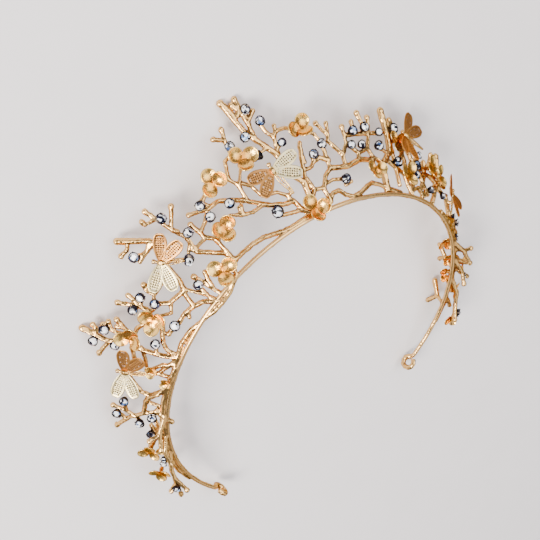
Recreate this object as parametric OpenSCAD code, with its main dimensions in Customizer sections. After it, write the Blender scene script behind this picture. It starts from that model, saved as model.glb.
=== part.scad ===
// Bridal crown: an open wire band with two end loops, cast coral twigs with
// rounded tips, cupped flowers, dragonflies with pierced wings and round stones.
// It is drawn standing on its band and then laid on its peaks and wire ends.
// A place on the crown is [u, v, w]: u along the band from the middle of the brow,
// v up the flared face from the wire, and w out of that face. Millimetres, Z up.

/* [Band] */
// Radius of the arc over the brow
brow_r = 77; // [72:1:82]
// Radius of the arc on the left side
left_r = 82; // [76:1:88]
// Radius of the arc on the right side
right_r = 69; // [64:1:76]
// Band length left of the middle where the side arc starts
left_start = 40; // [30:1:60]
// Band length right of the middle where the side arc starts
right_start = 40; // [30:1:60]
// Half of the band's length, without the loops
half_band = 172.5; // [165:0.5:180]
// Radius of the band wire
wire_r = 0.9; // [0.7:0.05:1.2]
// Radius of the middle line of an end loop
loop_r = 2.9; // [2.6:0.1:3.5]

/* [Casting] */
// Angle by which the face leans out from upright
flare = 46; // [35:1:50]
// Sides of a thin twig
twig_sides = 4; // [4:1:8]
// Smallest radius of a twig that gets one side more
thick_twig = 1.05; // [0.6:0.05:1.2]

/* [Flowers] */
// Thickness of a petal
petal_t = 0.55; // [0.5:0.05:0.9]
// Rise of the petals of a common flower, in degrees
petal_rise = 14; // [4:1:24]

/* [Dragonflies] */
// Length of a wing from the middle of the thorax
wing_l = 12; // [9:0.2:13]
// Width of a wing
wing_w = 4.6; // [4:0.2:6]
// Thickness of a wing
wing_t = 0.5; // [0.4:0.05:0.8]
// Rise of the wings toward their tips, in degrees
wing_rise = 10; // [4:1:16]
// Turn of the tail away from the line of the head, in degrees
tail_bend = 13; // [0:1:20]
// Height of the wings' underside over the face
wing_lift = 1.45; // [1.3:0.05:2]

/* [Stones] */
// Girdle radius of a common stone
stone_r = 1.6; // [1.2:0.05:1.7]
// Height of a common cup's rim over the face
cup_h = 2.05; // [1.7:0.05:2.3]
// Wall of the cup around the girdle
cup_wall = 0.5; // [0.4:0.05:0.6]
// Gap between a stone and its cup
stone_gap = 0.1; // [0.08:0.01:0.15]

/* [Rest] */
// Lean of the band's plane when the crown lies on its peaks and wire ends
rest_lean = -11.07; // [-20:0.01:0]
// Roll of the band's plane toward one side
rest_roll = -1.05; // [-6:0.01:6]
// Height of the brow wire over the floor
rest_h = 29.92; // [20:0.01:45]
// Place of the middle of the brow, right of the origin
rest_x = -5.11; // [-20:0.01:20]
// Place of the middle of the brow, behind the origin
rest_y = -41.97; // [-80:0.01:0]

/* [Hidden] */
// Colours of the metal and the stones
gold = "#d8ab68";
pale_gold = "#e6dcb6";
crystal = "#cfdcec";
// Height of the wire's middle line on the face, and the short neck before each eye
wire_v = -0.3;
eye_neck = 1.2;
// Radius of the rail under the tails' castings, and where it starts and ends on each side
rail_r = 1.3;
rail_start = 80;
rail_end = 152;
// Longest stretch of a twig, the tip radius above which a tip is free, and how far that swells
longest_step = 11;
free_tip = 0.82;
tip_swell = 1.2;
// Depth of a stone under its girdle in girdle radii, and of a cup under the face
below = 0.75;
cup_foot = 0.53;

// Twigs, with the radius at the root, the radius at the tip and the points root to tip
band_twigs = [
  [0.8, 0.8, [[6, 1], [-6, 0.6], [-10, 1], [-14, 2.3], [-18, 3.7], [-23, 4.4], [-29, 4.6], [-33, 4.6], [-36.6, 4.2], [-38, -1]]],
  [0.8, 0.8, [[-34, 1], [-37, -0.6], [-41, -2], [-45, -2.5], [-51, -1.9], [-56, -0.5], [-62, 1.7], [-69, 2.3], [-74, 1.6], [-82, 0.6]]],
  [0.8, 0.8, [[4, 1], [10, 1.2], [14, 4.8], [17, 5.2], [19, 2.8], [22, 1.1], [26, 1.8], [30, 3.8], [33, 4.8], [37, 3.6], [41, 2], [48, 0.6]]],
  [0.7, 0.6, [[-33.8, 1.4], [-35.3, 4.6]]],
];
centre_twigs = [
  [1.1, 0.8, [[4.5, 1], [5, 13], [3, 17], [1, 28], [-4.2, 40], [-5.9, 54]]],
  [0.7, 0.8, [[-2.4, 35], [-2.2, 52.6]]],
  [0.7, 0.6, [[1.4, 25.5], [2.7, 33.4], [1.2, 36.5], [0.8, 41]]],
  [0.7, 0.6, [[2.6, 33.2], [4, 35], [7, 34.8], [10.5, 32.3]]],
  [0.7, 0.7, [[-9, 31.6], [-10.6, 35.6], [-10.3, 41.2], [-12.6, 44]]],
  [0.55, 0.7, [[-10.3, 41], [-9.4, 45.3]]],
  [0.7, 0.6, [[-10.7, 35.6], [-13.3, 35], [-15.7, 28.7], [-14.3, 25.5], [-14.7, 18]]],
  [0.6, 0.6, [[-9.3, 31.8], [-14.5, 24]]],
  [0.6, 0.6, [[-9, 31.2], [-4, 30.4], [-0.4, 31]]],
  [0.95, 0.7, [[2.5, 2], [-0.5, 5], [-1.5, 8.6], [-5, 9.4], [-9.7, 12], [-16.3, 20], [-22, 25], [-26, 25.4], [-31.4, 28.6]]],
  [0.6, 0.6, [[-20, 30.6], [-16.5, 30.2], [-15.6, 28.5]]],
  [0.85, 0.7, [[-31.2, 3.5], [-30.7, 15.3], [-32.7, 18.7], [-32.9, 25.6]]],
  [0.6, 0.6, [[-32.3, 21], [-29.3, 22.3], [-27.8, 23.4], [-26, 25.4]]],
  [0.6, 0.6, [[-38, 18.2], [-32.6, 18.2]]],
  [0.6, 0.6, [[-30.8, 14], [-22, 18.2], [-19.3, 15.3], [-15.7, 13.6], [-11, 13.4]]],
  [0.6, 0.6, [[-13.2, 25], [-11.2, 22], [-9.8, 16.5], [-5, 14.8], [-2.6, 12], [-1.5, 8.4]]],
  [0.75, 0.6, [[2, 2.6], [-1, 4.4], [-7.4, 6.2], [-8.8, 8.8]]],
  [0.9, 0.6, [[5.3, 6], [7.4, 8.8], [6.3, 14.5], [7, 17], [10.3, 17.3], [11.5, 18.8], [11.9, 21.2]]],
  [0.9, 0.6, [[11.8, 1.5], [11.4, 7.6], [13.7, 12], [16.6, 14.5], [16.9, 24.2], [15.3, 28.8], [10.5, 32]]],
  [0.6, 0.5, [[12.4, 9.2], [16.3, 9.9], [20.4, 8.8]]],
  [0.95, 0.9, [[16.4, 14.4], [24, 13], [29.7, 14.7], [33.7, 14], [37, 14.4], [40, 12.2]]],
  [0.8, 0.7, [[23, 13.2], [23, 18], [19.3, 24.7], [20, 26.7], [17.3, 32.4]]],
  [0.55, 0.65, [[19.9, 26.5], [20.6, 31.2]]],
  [0.7, 0.7, [[23, 17.6], [26, 22], [25.9, 28.6]]],
];
right_twigs = [
  [0.7, 0.7, [[26.3, 25], [38.3, 24.7], [44.4, 26]]],
  [0.6, 0.85, [[33.7, 25.3], [34.3, 29.3], [33, 33.2]]],
  [0.55, 0.7, [[36, 25], [37, 28.5], [36.8, 31.4]]],
  [0.8, 0.6, [[29.6, 14.6], [30, 17.3], [34.3, 18.7], [36, 25]]],
  [0.6, 0.5, [[30, 17.2], [27.4, 20.5]]],
  [0.6, 0.5, [[34.3, 18.7], [31.1, 20.3]]],
  [0.6, 0.5, [[35, 14], [34.5, 10.6]]],
  [1.2, 1, [[40, 1], [40, 12.4]]],
  [1.05, 1, [[39.8, 11.5], [44.5, 17], [44.8, 22], [43.2, 34.4]]],
  [0.6, 0.5, [[44, 16.3], [38.8, 19.4]]],
  [0.6, 0.5, [[44.6, 24], [46.8, 26.9]]],
  [0.9, 0.8, [[42.3, 13.8], [51, 8.6], [55, 0.8]]],
  [0.8, 0.6, [[45.6, 12.2], [48.7, 14], [51.5, 18], [52.6, 23]]],
  [0.6, 0.6, [[44.8, 21], [47.6, 22], [52, 22]]],
  [0.9, 0.6, [[55, 0.8], [58.4, 13.8], [59.4, 18.4], [57, 22]]],
  [0.7, 0.7, [[57.8, 11.4], [70, 17], [72.4, 19.6]]],
  [0.7, 0.7, [[62, 1.2], [66, 5], [72.3, 8.3], [76, 12.4]]],
];
left_twigs = [
  [0.8, 0.8, [[-37, 27], [-38, 29], [-38.9, 41.2]]],
  [0.95, 0.7, [[-31.2, 4.6], [-32, 9.3], [-37.8, 17], [-36.8, 24], [-38, 29]]],
  [0.6, 0.8, [[-39, 36.6], [-41.8, 37.9], [-41.4, 39.4]]],
  [0.6, 0.75, [[-38, 29.6], [-33, 35.4]]],
  [0.85, 0.95, [[-46.8, 24], [-44.5, 28.5], [-44.3, 33], [-50.1, 42.4]]],
  [0.6, 0.75, [[-48.5, 39], [-50.5, 37.6], [-52.8, 38.2]]],
  [0.6, 0.7, [[-44.2, 31], [-48.4, 31.8], [-50.6, 34]]],
  [0.7, 0.6, [[-37.8, 20.6], [-41.4, 17.6], [-46.8, 24]]],
  [0.85, 0.8, [[-50.6, 11.8], [-48.7, 15.3], [-46.7, 24.6]]],
  [0.7, 0.8, [[-43.6, 0.4], [-44.8, 11.9]]],
  [0.8, 0.5, [[-46.3, -0.7], [-47.3, 3], [-46.3, 9]]],
  [0.9, 0.7, [[-46.5, -1], [-50, 3.4], [-53.4, 5.4], [-57.3, 6.7], [-62, 6.8], [-67.4, 8.2]]],
  [0.85, 0.7, [[-53.3, 5.4], [-52, 10], [-50.6, 12]]],
  [0.7, 0.6, [[-47.2, 4], [-50.4, 12]]],
  [0.85, 0.7, [[-50.4, 11.6], [-57.3, 13.7], [-60.5, 18.5]]],
  [0.7, 0.6, [[-57, 13.5], [-60, 11.2], [-64.4, 15.8]]],
  [0.75, 0.8, [[-60, 17], [-63, 18], [-63.4, 23.3], [-65.7, 30.8]]],
  [0.6, 0.5, [[-63.3, 22.5], [-60.2, 24.1]]],
  [0.6, 0.7, [[-60.6, 18.5], [-57.4, 20.4], [-57.7, 23.3], [-56.3, 25.6]]],
  [0.6, 0.6, [[-57.4, 20.2], [-47.3, 20]]],
];
side_twigs = [
  [0.9, 1, [[-74, 20], [-78, 24.7], [-79, 29], [-78, 39.2]]],
  [0.7, 0.8, [[-79.2, 28], [-84.2, 30.4]]],
  [0.7, 0.75, [[-73.9, 21], [-75, 26], [-74.3, 32.4]]],
  [0.7, 0.8, [[-74, 20.8], [-70.9, 28.4]]],
  [0.85, 0.7, [[-74.2, 20], [-70.7, 20], [-64.6, 16.4]]],
  [0.9, 0.9, [[-77.7, 19.6], [-76.6, 7.3], [-74.6, 1]]],
  [0.6, 0.5, [[-76.9, 9], [-72.6, 11.2]]],
  [0.85, 0.8, [[-64.4, 15.6], [-66.2, 11.6], [-71.3, 8.7], [-73.4, 6], [-74.2, 1]]],
  [0.85, 0.75, [[-74, 19.7], [-78, 19], [-82, 16.5], [-86, 17], [-89.3, 19.6]]],
  [0.7, 0.6, [[-88.6, 16.8], [-86, 9], [-83.3, 8.7], [-80, 5.5], [-78, 1]]],
  [0.9, 0.8, [[-88.8, 18], [-94.8, 10.7], [-95.1, 7.1], [-90.2, 1]]],
  [0.85, 0.8, [[-95.3, 7.4], [-98.6, 8.8], [-105.4, 9.2], [-108.6, 15], [-114, 21]]],
  [0.6, 0.5, [[-110, 16.6], [-106.9, 20.1]]],
  [0.6, 0.7, [[-107.6, 13], [-105.4, 17], [-104.2, 21.8]]],
  [0.6, 0.5, [[-105.6, 16.6], [-100.5, 17.2]]],
  [0.6, 0.5, [[-107.2, 12.3], [-110, 11.1]]],
  [0.8, 0.7, [[-105.2, 9.4], [-103.6, 5], [-105, 1]]],
  [0.6, 0.5, [[-104.2, 7.2], [-105.7, 5.7]]],
  [0.7, 0.7, [[-98.6, 8.8], [-99.5, 4], [-107.2, -2.2]]],
];
tail_twigs = [
  [0.8, 0.8, [[-113, 0.6], [-117, 4.6, 1.6], [-122.9, 7.9, 2.9]]],
  [0.8, 0.8, [[-103, 0.6, 0.6], [-110, 1.6, 4.6], [-116.5, 0.6, 7.6]]],
  [0.7, 0.8, [[-110.6, 1.8, 4.8], [-112, 5, 7.6]]],
  [0.6, 0.6, [[-114.4, 2, 0.5], [-115.2, 6.2]]],
  [0.7, 0.8, [[-115, 0.4, 0.8], [-122, 0.6, 4.8], [-127.4, -1.4, 6.6]]],
  [0.8, 0.8, [[-120.4, 0.8], [-117.6, 4.8, -4], [-113.4, 7.4, -6.6]]],
  [0.7, 0.8, [[-117.8, 4.6, -3.8], [-121, 6.6, -6.2]]],
  [0.8, 0.8, [[-128, 0.6], [-133, 4.4, 1.4], [-138.7, 7.8, 2.9]]],
  [0.8, 0.8, [[-126.6, 0.4, -0.2], [-128, 3.3, -3.5]]],
  [0.8, 0.8, [[-126, 0.4, 0.8], [-135, 1, 4.8], [-145, 1.4, 7], [-151, 3, 8.2]]],
  [0.7, 0.8, [[-139.6, 1.2, 5.8], [-146.4, -2.4, 8]]],
  [0.7, 0.8, [[-143, 1.4, 6.6], [-146.6, 5, 8.6]]],
  [0.8, 0.9, [[-141.8, 0.2, -0.2], [-140.4, 3.8, -3.2], [-134.4, 6.6, -6.2]]],
  [0.7, 0.9, [[-140.6, 3.6, -3], [-145.6, 6, -6]]],
];

// Flowers, with the place of the heart, the petal length and each petal's heading and rise
flowers = [
  [[-9.5, 31.6, 1.5], 6.3, [[2, 14], [118, 15], [254, 39]]],
  [[-20, 30.4, 1.5], 6.3, [[90, 4], [189, 23], [11, 35]]],
  [[-26.3, 16, 1.5], 6.2, [[23, 32], [150, 33], [255, 32]]],
  [[10.5, 31.5, 1.5], 6.3, [[62, 17], [163, 19], [287, 54]]],
  [[4.5, 2.2, 1.5], 6.3, [[119, 4], [236, 28], [350, 46]]],
  [[-36.5, 4.7, 1.5], 6.3, [[116, 2], [235, 33], [10, 16]]],
  [[-64.5, 16, 1.5], 6.2, [[85, 24], [202, 26], [305, 28]]],
  [[-74.2, 20.6, 1.5], 6.2, [[107, 17], [279, 36], [10, 26]]],
  [[34.5, 10.6, 1.4], 5, [[255, petal_rise], [345, petal_rise], [170, petal_rise]]],
  [[47.6, 21.6, 1.2], 4.6, [[140, 6], [20, 6], [265, 6]]],
  [[51, 8.4, 1.5], 5.4, [[60, petal_rise], [175, petal_rise], [300, petal_rise]]],
  [[66.5, 15, 1.4], 5.4, [[95, petal_rise], [215, petal_rise], [330, petal_rise]]],
];
tail_flowers = [
  [[-122.4, 7.4, 3.6], 5, [[100, 14], [345, 14], [225, 14]]],
  [[-138, 7, 3.6], 5, [[170, 14], [60, 14], [285, 14]]],
  [[-128, 2.9, -1.7], 4.4, [[108, 14], [340, 14], [222, 14]]],
];

// Dragonflies, with the thorax place, the turn, the lean to the right, the scale, the length of
// the tail and the colours of the left and right wings
dragonflies = [
  [[-3.2, 22.6, wing_lift], 2, 4, 1, 12, gold, pale_gold],
  [[-47.2, 25.1, wing_lift], 29, -4, 1, 8.6, pale_gold, gold],
  [[-87.3, 19, wing_lift], 3, 0, 1, 12, pale_gold, gold],
  [[50.8, 23.8, wing_lift + 1.4], 58, 11, 1, 12, gold, gold],
  [[88, 14.5, wing_lift], -12, 0, 0.9, 12, gold, gold],
];

// Stones, with the place in the face, the size and the turns about u and v
main_stones = [
  [[-1.4, 47.3], 1, 0, 10], [[0.7, 41], 1, 0, 8], [[-5, 38.3], 1, 0, -10], [[-10.2, 38.3], 1, 0, 0],
  [[-5.1, 29.9], 1, 0, 36], [[-27.2, 28.2], 1, 0, 0], [[-27.1, 22.9], 1, 10, 0], [[-20, 21.8], 1, 0, 0],
  [[-9, 8.4], 1.2, 0, 0], [[11.9, 21.3], 1, 0, 0], [[16, 24.1], 1, 0, 0], [[20.4, 8.8], 1.04, 15, 0],
  [[-37.2, 35.1], 1.04, 0, 0], [[-50.5, 34.2], 1.04, 0, 0], [[-35.1, 24.4], 1, 0, 0],
  [[-41.7, 17.5], 1, 0, 30], [[-46, 9], 1, 0, 0], [[-60, 24.1], 1, 0, 0], [[-64.9, 24.3], 1, 0, 0],
  [[-59.7, 18.2], 1, 0, 0], [[-62.9, 7.7], 1.06, 0, 0], [[-80, 33.6], 1, 0, 0], [[-78.7, 25.2], 1, 0, 0],
  [[-75.2, 31.2], 1.04, 0, 0], [[-72.4, 11.1], 1, 0, 0], [[-100.1, 17.3], 1, 0, 0],
  [[-106.6, 20], 1, 0, 0], [[-109.9, 11], 1, 15, 0], [[-105.5, 5.7], 1.04, 10, 0],
  [[-115, 6.3], 1, 0, 0], [[-144.4, 1.4, 7], 1, 0, 0], [[144.4, 1.4, 7], 1, 0, 0],
  [[28.8, 26], 1.04, 0, 0], [[33.9, 27.1], 1.04, 0, 0], [[27, 20.8], 0.92, 0, 0],
  [[31.2, 20.3], 0.92, 0, 0], [[38.6, 19.4], 1.06, 0, 0], [[46.9, 27], 1.04, 0, 0],
  [[46.4, 12.6], 1.1, 0, 0], [[58, 13.5], 1.04, 0, 0], [[56.9, 9.2], 1, 0, 0],
];

// The far side repeats the near side's castings, mirrored and lower
far_shift = -4;
far_rise = 0.62;
function far_place(p) = [far_shift - p[0], far_rise * p[1], len(p) > 2 ? p[2] : 0];
far_side = [for (t = side_twigs) if (t[2][0][0] < -72 && t[0] >= 0.8) [t[0], t[1], [for (p = t[2]) far_place(p)]]];
far_flower = [[far_shift + 77, 14, 1.4], 5, [[98, petal_rise], [205, petal_rise], [330, petal_rise]]];

// Side pieces of both tails stand out of the face on both sides of the wire
function mirrored(p) = [-p[0], p[1], len(p) > 2 ? p[2] : 0];
tails = [for (t = tail_twigs) for (side = [0, 1])
  [t[0], t[1], [for (p = t[2]) side == 0 ? p : mirrored(p)]]];
tail_flower_pair = [for (f = tail_flowers) for (side = [0, 1])
  [side == 0 ? f[0] : mirrored(f[0]), f[1], [for (q = f[2]) [side == 0 ? q[0] : 180 - q[0], q[1]]]]];

all_twigs = concat(band_twigs, centre_twigs, right_twigs, left_twigs, side_twigs, far_side, tails);
all_flowers = concat(flowers, tail_flower_pair, [far_flower]);

// Heading of the band at u in degrees, and the band's point there
left_turn = -left_start / brow_r;
right_turn = right_start / brow_r;
rad = 180 / PI;
function heading(u) = rad * (
  u < -left_start ? left_turn + (u + left_start) / left_r
  : u > right_start ? right_turn + (u - right_start) / right_r
  : u / brow_r);
function arc(r, a) = r * [sin(a), -cos(a)];
function band_xy(u) =
  u < -left_start ? arc(left_r, heading(u)) + arc(brow_r - left_r, rad * left_turn) + [0, brow_r]
  : u > right_start ? arc(right_r, heading(u)) + arc(brow_r - right_r, rad * right_turn) + [0, brow_r]
  : arc(brow_r, heading(u)) + [0, brow_r];

// Directions along the band, up the face and out of it
function along(u) = [cos(heading(u)), sin(heading(u)), 0];
function outward(u) = [sin(heading(u)), -cos(heading(u)), 0];
function up_face(u) = sin(flare) * outward(u) + [0, 0, cos(flare)];
function out_face(u) = cos(flare) * outward(u) - [0, 0, sin(flare)];
function place(p) = let (b = band_xy(p[0]))
  [b[0], b[1], 0] + p[1] * up_face(p[0]) + (len(p) > 2 ? p[2] : 0) * out_face(p[0]);

// Puts a piece drawn flat, with x along u, y up the face and z out of it, on the face
module seat(p) {
  t = along(p[0]);
  s = up_face(p[0]);
  m = out_face(p[0]);
  o = place(p);
  multmatrix([[t[0], s[0], m[0], o[0]], [t[1], s[1], m[1], o[1]], [t[2], s[2], m[2], o[2]]]) children();
}

module laid() {
  translate([rest_x, rest_y, rest_h]) rotate([rest_lean, rest_roll, 0]) rotate([0, 180, 0]) children();
}

// A tube of rings about a line of points, each ring square to the line there
function unit(v) = v / norm(v);
function course(p, i) = unit(p[min(i + 1, len(p) - 1)] - p[max(i - 1, 0)]);
function ring(c, way, side, r, n) = let (a = unit(cross(way, side)), b = cross(a, way))
  [for (k = [0:n - 1]) c + r * (cos(360 * k / n) * a + sin(360 * k / n) * b)];
module tube(p, sides, r, n, domed = false) {
  last = len(p) - 1;
  tip = p[last] + 0.6 * r[last] * course(p, last);
  rings = concat(
    [for (i = [0:last]) ring(p[i], course(p, i), sides[i], r[i], n)],
    domed ? [ring(tip, course(p, last), sides[last], 0.55 * r[last], n)] : []);
  end = len(rings) - 1;
  polyhedron(
    points = [for (q = rings) for (c = q) c],
    faces = concat(
      [[for (k = [n - 1:-1:0]) k]],
      [for (i = [0:end - 1]) for (k = [0:n - 1])
        [i * n + k, i * n + (k + 1) % n, (i + 1) * n + (k + 1) % n, (i + 1) * n + k]],
      [[for (k = [0:n - 1]) end * n + k]]));
}

// Long stretches of a twig are cut in steps, so that they follow the band's arc
function full(p) = [p[0], p[1], len(p) > 2 ? p[2] : 0];
function stepped(p) = concat([full(p[0])], [for (i = [1:len(p) - 1])
  let (n = ceil(abs(p[i][0] - p[i - 1][0]) / longest_step))
  for (k = [1:max(n, 1)]) full(p[i - 1]) + (full(p[i]) - full(p[i - 1])) * k / max(n, 1)]);

module twig(root_r, tip_r, row_points) {
  points = stepped(row_points);
  last = len(points) - 1;
  slim = min(root_r, tip_r) * 0.92;
  tube(
    [for (p = points) place(p)],
    [for (p = points) out_face(p[0])],
    [for (i = [0:last]) i == last ? (tip_r > free_tip ? tip_swell : 1) * tip_r : root_r + (slim - root_r) * i / last],
    root_r < thick_twig ? twig_sides : twig_sides + 1,
    tip_r > free_tip);
}

// One bent wire: an open eye, the band on its arcs and the other eye. The band is thicker
// where the castings end in a rail along it.
function band_r(u) = abs(u) > rail_start && abs(u) < rail_end ? rail_r : wire_r;
function eye(side) = let (u = side * half_band, way = side * along(u))
  [for (a = [150:-37.5:-150]) place([u, wire_v])
    + (eye_neck + loop_r * (1 + cos(a))) * way + loop_r * sin(a) * [0, 0, 1]];
function reversed(p) = [for (i = [len(p) - 1:-1:0]) p[i]];
module wire() {
  steps = 30;
  u = [for (i = [0:steps]) -half_band + 2 * half_band * i / steps];
  near_eye = eye(-1);
  far_eye = eye(1);
  tube(
    concat(reversed(near_eye), [for (a = u) place([a, wire_v])], far_eye),
    concat([for (p = near_eye) outward(-half_band)], [for (a = u) outward(a)], [for (p = far_eye) outward(half_band)]),
    concat([for (p = near_eye) wire_r], [for (a = u) band_r(a)], [for (p = far_eye) wire_r]), 6);
}

// A flower in one piece, each petal an arc of four rim points round its heading and tilted up
petal_rim = [[-44, 0.5], [-23, 0.98], [23, 0.98], [44, 0.5]];
function petal_point(l, petal, q) = let (reach = l * q[1] * cos(q[0]), side = l * q[1] * sin(q[0]))
  [reach * cos(petal[1]) * cos(petal[0]) - side * sin(petal[0]),
   reach * cos(petal[1]) * sin(petal[0]) + side * cos(petal[0]),
   reach * sin(petal[1])];
module flower(place_of, l, petals) {
  rim = [for (petal = petals) for (q = petal_rim) petal_point(l, petal, q)];
  n = len(rim);
  foot = [0.17, -0.11, -1.3];
  heart = [0, 0, petal_t];
  seat(place_of) polyhedron(
    points = concat(rim, [for (q = rim) q + [0, 0, petal_t]], [foot, heart]),
    faces = concat(
      [for (k = [0:n - 1]) [2 * n, k, (k + 1) % n]],
      [for (k = [0:n - 1]) [2 * n + 1, n + (k + 1) % n, n + k]],
      [for (k = [0:n - 1]) [k, n + k, n + (k + 1) % n, (k + 1) % n]]));
}

// A tapered cup with a pocket that follows the stone's underside
module cup(stone) {
  r = stone_r * stone[1];
  h = cup_h * stone[1];
  seat(full(stone[0])) rotate([stone[2], stone[3], 0]) difference() {
    hull() translate([0, 0, -cup_foot]) cylinder(h = h + cup_foot, r1 = 0.85 * r, r2 = r + cup_wall, $fn = 6);
    translate([0, 0, h - below * r - stone_gap])
      cylinder(h = below * r + stone_gap + 0.01, r1 = 0, r2 = r + 0.02, $fn = 8);
  }
}

// A round cut stone with a table, eight crown facets and eight below
module cut(stone) {
  r = stone_r * stone[1];
  n = 8;
  seat(full(stone[0])) rotate([stone[2], stone[3], 0]) translate([0, 0, cup_h * stone[1]])
    polyhedron(
      points = concat(
        [for (k = [0:n - 1]) [0.55 * r * cos(45 * k), 0.55 * r * sin(45 * k), 0.42 * r]],
        [for (k = [0:n - 1]) [r * cos(45 * k), r * sin(45 * k), 0.02]],
        [[0, 0, stone_gap - below * r]]),
      faces = concat(
        [[for (k = [n - 1:-1:0]) k]],
        [for (k = [0:n - 1]) [k, (k + 1) % n, n + (k + 1) % n, n + k]],
        [for (k = [0:n - 1]) [n + k, n + (k + 1) % n, 2 * n]]));
}

// A pierced wing, its root at the origin, with six diamond gaps
module wing(l, w) {
  gaps = [[0.25, 0], [0.44, 0.2], [0.44, -0.2], [0.65, 0.22], [0.65, -0.22], [0.85, 0]];
  gap_w = 0.13;
  linear_extrude(wing_t) difference() {
    polygon([for (k = [0:7]) let (a = 45 * k)
      [l * (0.5 - 0.5 * cos(a)), 0.5 * w * sin(a) * (1 - 0.35 * cos(a))]]);
    for (g = gaps) translate([g[0] * l, g[1] * w])
      polygon(gap_w * w * [[1.3, 0], [0, 1], [-1.3, 0], [0, -1]]);
  }
}

// A round bar turned on a lathe about the y axis, from rows of height and radius
module turned(outline) {
  translate([0, 0, 0.6]) rotate([-90, 0, 0]) rotate_extrude($fn = 16)
    polygon([for (q = outline) [q[1], q[0]]]);
}

// A dragonfly in the face, its head up before it is turned. The head and thorax are one bar
// and the ringed tail another, turned a little to one side.
function tail_outline(l) = concat([[-0.6, 0], [-0.8, 0.7]],
  [for (k = [0:l - 4]) [-3 - k, (k % 2 == 0 ? 0.65 : 0.95) * (1 - 0.04 * k)]],
  [[-l + 0.4, 0.4], [-l, 0]]);
module dragonfly_body(l) {
  turned([[3.6, 0], [3.4, 0.7], [2.6, 1], [1.9, 0.6], [1, 0.9], [0, 1.15], [-1.4, 1], [-2.4, 0.4], [-2.5, 0]]);
  rotate([0, 0, tail_bend]) turned(tail_outline(l));
}

// Both wings of a side rise from the thorax, one forward and one back
module wings(angles) {
  for (a = angles) rotate([0, 0, a]) rotate([0, -wing_rise, 0]) wing(wing_l, wing_w);
}

module dragonfly(row) {
  seat(row[0]) rotate([0, 0, row[1]]) rotate([0, row[2], 0]) scale(row[3]) {
    color(row[5]) dragonfly_body(row[4]);
    color(row[5]) wings([172, 215]);
    color(row[6]) wings([8, -35]);
  }
}

module crown_frame() {
  color(gold) laid() {
    wire();
    for (t = all_twigs) twig(t[0], t[1], t[2]);
    for (f = all_flowers) flower(f[0], f[1], f[2]);
    for (s = main_stones) cup(s);
  }
}

module dragonfly_piece(i) { laid() dragonfly(dragonflies[i]); }
module stone_piece(i) { color(crystal) laid() cut(main_stones[i]); }

crown_frame();
for (i = [1:len(dragonflies)]) dragonfly_piece(i - 1);
for (i = [1:len(main_stones)]) stone_piece(i - 1);
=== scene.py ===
# %% [markdown]
# # A bridal crown in cast gold
# The crown is an open wire band that carries coral twigs, cupped flowers, dragonflies and
# cut stones. The packed solids give the sizes. This lesson dresses them: it makes the cast
# metal grainy and rounded, and gives petals, wings and stones the detail of the real ones.

# %% Load the packed crown
from math import atan2, cos, hypot, pi, radians, sin, sqrt

import bpy
from mathutils import Euler, Matrix, Vector, kdtree, noise


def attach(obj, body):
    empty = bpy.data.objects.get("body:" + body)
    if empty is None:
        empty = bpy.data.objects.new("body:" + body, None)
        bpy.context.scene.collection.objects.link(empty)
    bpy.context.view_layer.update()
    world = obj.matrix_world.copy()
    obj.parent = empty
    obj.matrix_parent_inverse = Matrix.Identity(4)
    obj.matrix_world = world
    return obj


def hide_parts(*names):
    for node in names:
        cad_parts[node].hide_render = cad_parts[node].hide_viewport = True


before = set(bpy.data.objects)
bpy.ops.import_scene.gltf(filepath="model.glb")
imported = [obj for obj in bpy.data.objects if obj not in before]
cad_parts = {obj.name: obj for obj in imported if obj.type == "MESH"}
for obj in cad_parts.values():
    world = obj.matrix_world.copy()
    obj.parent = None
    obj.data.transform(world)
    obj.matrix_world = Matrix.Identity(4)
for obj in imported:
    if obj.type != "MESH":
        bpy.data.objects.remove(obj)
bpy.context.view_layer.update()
MM = 0.001

# %% [markdown]
# ## Places on the crown
# A jeweller speaks of how far along the band a flower sits, how high up the face, and how far
# it stands out. The functions below turn such a place, in millimetres, into a point of the
# scene. The band is three arcs, the face leans out from it, and the crown lies on its peaks.

# %% The band's arcs and the resting place
brow_r, left_r, right_r = 77, 82, 69
left_start, right_start = 40, 40
half_band = 172.5
flare = radians(46)
rest_lean, rest_roll = radians(-11.07), radians(-1.05)
rest_at = (-5.11, -41.97, 29.92)
laid = (Matrix.Translation(rest_at) @ Matrix.Rotation(rest_roll, 4, "Y")
        @ Matrix.Rotation(rest_lean, 4, "X") @ Matrix.Rotation(pi, 4, "Y"))
brow_centre = Vector((0, brow_r, 0))


def heading(u):
    if u < -left_start:
        return -left_start / brow_r + (u + left_start) / left_r
    if u > right_start:
        return right_start / brow_r + (u - right_start) / right_r
    return u / brow_r


def arc_point(r, angle):
    return Vector((r * sin(angle), -r * cos(angle), 0))


def arc_offset(r, corner):
    return arc_point(brow_r - r, corner / brow_r)


def band_point(u):
    if u < -left_start:
        return arc_point(left_r, heading(u)) + arc_offset(left_r, -left_start) + brow_centre
    if u > right_start:
        return arc_point(right_r, heading(u)) + arc_offset(right_r, right_start) + brow_centre
    return arc_point(brow_r, heading(u)) + brow_centre


print("the band ends at", [round(c, 1) for c in band_point(half_band)])

# %% [markdown]
# No cast rod is quite straight, so each place also sways a little, by a smooth noise. Its seed
# is fixed, because the crown has to come out the same in every run. The drawn wire stays true:
# the sway grows with the distance from it. A seat is a place with a direction, so that whatever
# is set there lies flat on the face.

# %% A place and a seat on the face
wire_v = -0.3
wire_reach, wire_step = 175, 0.25
sway_scale, sway_size, sway_flat, sway_grows = 0.16, 0.35, 0.5, 8
sway_seed = 4
peak = (-5.9, 54)


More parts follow.
